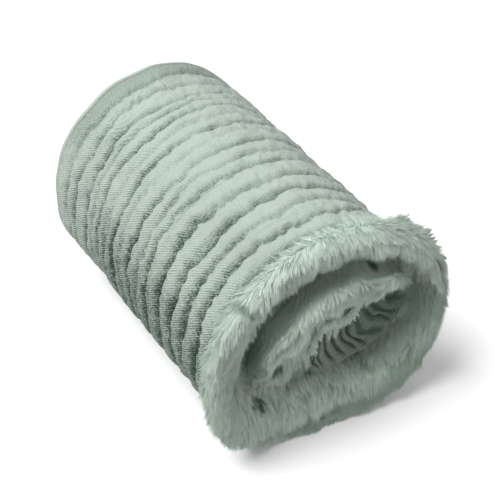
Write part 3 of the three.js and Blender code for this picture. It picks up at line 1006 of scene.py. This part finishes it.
# Pile that hangs over an edge: its line as x, z and rise, and where its hairs point
fringes = [
    {"name": "pile_fringe", "hairs": 4500, "length": 10, "width": 3.0, "perClump": 9, "clumping": 0.65,
     "way": (-0.62, -0.32, -0.66), "line": [
        (63, 38, 23), (50, 43, 24), (45, 35, 21), (36, 33, 20), (24, 38, 21), (13, 41, 21), (3, 43, 22),
        (-6, 42, 22), (-12, 34, 21), (-18, 27, 20), (-24, 20, 19), (-31, 15, 18), (-38, 11, 16),
        (-44, 9, 14),
     ]},
    {"name": "pile_tongue", "hairs": 2500, "length": 5, "width": 3, "clumping": 0.75, "deep": 0.1,
     "way": (0.25, -0.35, -0.65), "line": [
        (-7, -10, 12), (-4, 6, 14), (4, 12, 14), (14, 11, 14), (22, 13, 15), (31, 21, 16),
     ]},
    {"name": "pile_tufts", "hairs": 5800, "length": 9, "width": 3, "perClump": 24, "clumping": 0.6,
     "lean": 0.3, "deep": 0.35, "outward": 0.8, "way": (0.1, -0.25, 0.1), "line": [
        (-64, -66, 16), (-46, -78, 14), (-24, -86, 12), (0, -88, 11), (24, -88, 11), (47, -81, 16),
        (68, -68, 18), (85, -49, 21), (94, -25, 21), (98, 0, 19), (97, 26, 17), (88, 51, 15), (71, 71, 12),
        (58, 80, 11),
     ]},
]


def hairShape(bent):  # one hair as a thin three-sided spike of unit length, a bent one with a ring half-way
    bm = bmesh.new()
    bmesh.ops.create_cone(bm, cap_ends=True, segments=3, radius1=1, radius2=0, depth=1)
    bmesh.ops.translate(bm, verts=bm.verts, vec=(0, 0, 0.5))
    if bent:
        cut = bm.verts[:] + bm.edges[:] + bm.faces[:]
        bmesh.ops.bisect_plane(bm, geom=cut, plane_co=(0, 0, 0.5), plane_no=(0, 0, 1))
    bmesh.ops.remove_doubles(bm, verts=bm.verts, dist=1e-4)
    bmesh.ops.triangulate(bm, faces=bm.faces)
    bm.verts.ensure_lookup_table()
    places = np.array([v.co[:] for v in bm.verts])
    faces = np.array([[v.index for v in face.verts] for face in bm.faces])
    bm.free()
    return places, faces


def sampleGround(random, low, high, count):  # random places on the plush cloth between two of its rows
    rows = np.where((plushRow[:, 0] >= low) & (plushRow[:, 0] <= high))[0]
    first, last = rows[0], rows[-1]
    quad = ground[first:last + 1]
    size = np.linalg.norm(np.cross(np.diff(quad, axis=0)[:, :-1], np.diff(quad, axis=1)[:-1]), axis=-1)
    size = size * (0.4 + 0.6 * (np.abs(quad[:-1, :-1, 2]) > 2))  # fewer hairs where it rests
    chosen = random.choice(size.size, count, p=(size / size.sum()).ravel())
    i, j = np.unravel_index(chosen, size.shape)
    u, v = random.random(count)[:, None], random.random(count)[:, None]
    i = i + first

    def between(table):
        return mix(mix(table[i, j], table[i + 1, j], u), mix(table[i, j + 1], table[i + 1, j + 1], u), v)

    return between(ground), between(plushNormal)


def swayAt(root, size, firstSeed):  # how neighbouring hairs turn aside together
    return np.stack([rumpleAt(root, size, firstSeed + k) for k in range(3)], -1)


def rootStretch(stretch, random):  # where a stretch's hairs grow from, the cloth's normal and their heading
    root, normal = sampleGround(random, *stretch["rows"], stretch["hairs"])
    if stretch["rows"][0] > plushEnd["innerRow"]:  # none in the holes, and none that would lean over one
        x, z = root[:, 0], root[:, 2] - axisHeight
        keep = ~insideTurn(x, z, 1.0) & (dentAt(x, z)[1] > 0.8) & (dentAt(x - 1.5, z - 4)[1] > 0.6)
        root, normal = root[keep], normal[keep]
    normal = unit(normal)
    lie = np.array(comb["way"]) + comb["sway"] * swayAt(root, 16, 21)
    lie = lie - normal * (lie * normal).sum(1, keepdims=True)
    steep = mix(0.75, stretch["rise"], smooth(roll["nearSeam"] - root[:, 1], 2, 8))[:, None]
    steep = steep + 0.5 * (1 - smooth(root[:, 2], 8, 30))[:, None]
    return root, normal, normal * steep + lie + comb["mess"] * random.normal(0, 1, root.shape)


def rootFringe(fringe, random):
    place = rowCurve(np.array(fringe["line"], float), random.random(fringe["hairs"]))
    place = place + random.normal(0, 1, place.shape) * np.array([0.4, 0.4, 0.15]) * fringe["width"]
    root = np.stack([place[:, 0], roll["nearSeam"] - place[:, 2] + 2.5, place[:, 1] + axisHeight], -1)
    heading = np.array(fringe["way"]) + 0.7 * swayAt(root, 9, 24)
    heading = heading + comb["mess"] * random.normal(0, 1, root.shape)
    away = unit((root - np.array([0, 0, axisHeight])) * np.array([1, 0, 1])) * fringe["outward"]
    return root, np.array([-0.2, -0.75, 0.6]) + away, heading + away


def rootEdge(stretch, random):  # the lining's pile shows under the hem where the outer turn ends
    count = stretch["hairs"]
    angle = roll["looseEnd"] + random.uniform(-3, 0.5, count)
    x, z = rollOutline(angle, roll["layerProud"] - random.uniform(2.6, 12, count))
    y = random.uniform(roll["nearSeam"] + 3, roll["farEnd"] - cover["foldDepth"] + 1, count)
    a = np.radians(angle)
    away = np.stack([np.cos(a), 0 * a, np.sin(a)], -1)
    on = np.stack([-np.sin(a), 0 * a, np.cos(a)], -1)
    heading = on + 0.25 * away + 0.2 * random.normal(0, 1, on.shape)
    return np.stack([x, y, z], -1), 0.6 * on + away, heading


def chooseGuides(root, perClump, random):  # the hairs that others lean towards, and each hair's nearest one
    count = int(len(root) / perClump)
    guide = random.choice(len(root), count, replace=False)
    tree = kdtree.KDTree(count)
    for n, g in enumerate(guide):
        tree.insert(Vector(root[g]), n)
    tree.balance()
    return guide, np.array([tree.find(Vector(p))[1] for p in root])


def hairLine(root, heading, length, at):  # a hair's middle line, bending down towards its tip
    bend = heading * at + np.array([0, 0, -comb["sag"]]) * at * at
    return root + bend * length[:, None]


def hairPiece(name, points, faces, soft):  # all the hairs of a stretch as one mesh, with soft normals
    count, corners = points.shape[:2]
    allFaces = (faces[None] + (np.arange(count) * corners)[:, None, None]).reshape(-1, 3)
    spots = toFrame(points[..., 0], points[..., 1], points[..., 2]).reshape(-1, 3)
    mesh = bpy.data.meshes.new(name)
    mesh.vertices.add(len(spots))
    mesh.vertices.foreach_set("co", spots.ravel())
    mesh.loops.add(allFaces.size)
    mesh.loops.foreach_set("vertex_index", allFaces.ravel())
    mesh.polygons.add(len(allFaces))
    mesh.polygons.foreach_set("loop_start", np.arange(0, allFaces.size, 3))
    mesh.update(calc_edges=True)
    mesh.shade_smooth()
    mesh.normals_split_custom_set_from_vertices(unit(soft).tolist())
    piece = bpy.data.objects.new(name, mesh)
    bpy.context.scene.collection.objects.link(piece)
    return piece


def growPile(stretch, seed):
    random = np.random.default_rng(seed)
    hanging = "line" in stretch
    stretch = {**hair, **stretch}
    grow = rootFringe if hanging else rootEdge if "edge" in stretch else rootStretch
    root, normal, heading = grow(stretch, random)
    count = len(root)
    patchy = 1 + 0.4 * rumpleAt(root, 8, 27)
    length = stretch["length"] * random.uniform(0.8, 1.15, count) * patchy
    length = length * mix(0.65, 1, smooth(root[:, 2], 4, 30))  # pressed short where the roll rests
    guide, nearest = chooseGuides(root, stretch["perClump"], random)
    lean = random.normal(0, stretch["lean"], (len(guide), 3))
    heading = unit(heading)
    aboveFloor = (0.5 - root[:, 2]) / length + comb["sag"]
    heading[:, 2] = np.maximum(heading[:, 2], aboveFloor)
    guideHeading = unit(heading[guide] + lean)
    places, faces = hairShape(hanging)
    t, wide = places[:, 2], np.linalg.norm(places[:, :2], axis=1)
    radius = np.where(t < 0.25, hair["root"] * wide, np.where(t < 0.75, hair["middle"], 0))
    spoke = unit(places[:, :2]) * radius[:, None]
    levels, level = np.unique(np.round(t, 3), return_inverse=True)
    spine = []
    for at in levels:
        own = hairLine(root, heading, length, at)
        lead = hairLine(root[guide][nearest], guideHeading[nearest], length[guide][nearest], at)
        spine.append(own + (lead - own) * stretch["clumping"] * at ** 1.3)
    spine = np.stack(spine)
    axis = unit(spine[-1] - spine[0])
    sideways = unit(np.cross(axis, random.normal(0, 1, (count, 3))))
    other = np.cross(axis, sideways)
    middle = spine[level].transpose(1, 0, 2)
    points = middle + sideways[:, None] * spoke[None, :, 0:1] + other[:, None] * spoke[None, :, 1:2]
    points[..., 2] = np.maximum(points[..., 2], 0.3)
    soft = np.repeat(normal + 0.4 * heading + 0.7 * lean[nearest], len(places), axis=0)
    soft = soft + 0.35 * (points - middle).reshape(-1, 3) / hair["root"]
    piece = hairPiece(stretch["name"], points, faces, soft)
    tint = 0.5 * random.random(len(guide))[nearest] + 0.5 * random.random(count)
    # painted shade on each hair, from where it grows, and its stretch's own
    deep = paintedShadeAt(root[:, 0], root[:, 1], root[:, 2] - axisHeight) * (not hanging) + stretch["deep"]
    addMeasure(piece, "pileTint", np.repeat(tint, len(places)))
    addMeasure(piece, "pileHeight", np.tile(t, count))
    addMeasure(piece, "pileShade", np.repeat(deep, len(places)))
    piece.data.materials.append(plush)
    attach(piece, "root")
    return piece


pile = [growPile(stretch, 11 + k) for k, stretch in enumerate(stretches + fringes)]

print("finish")
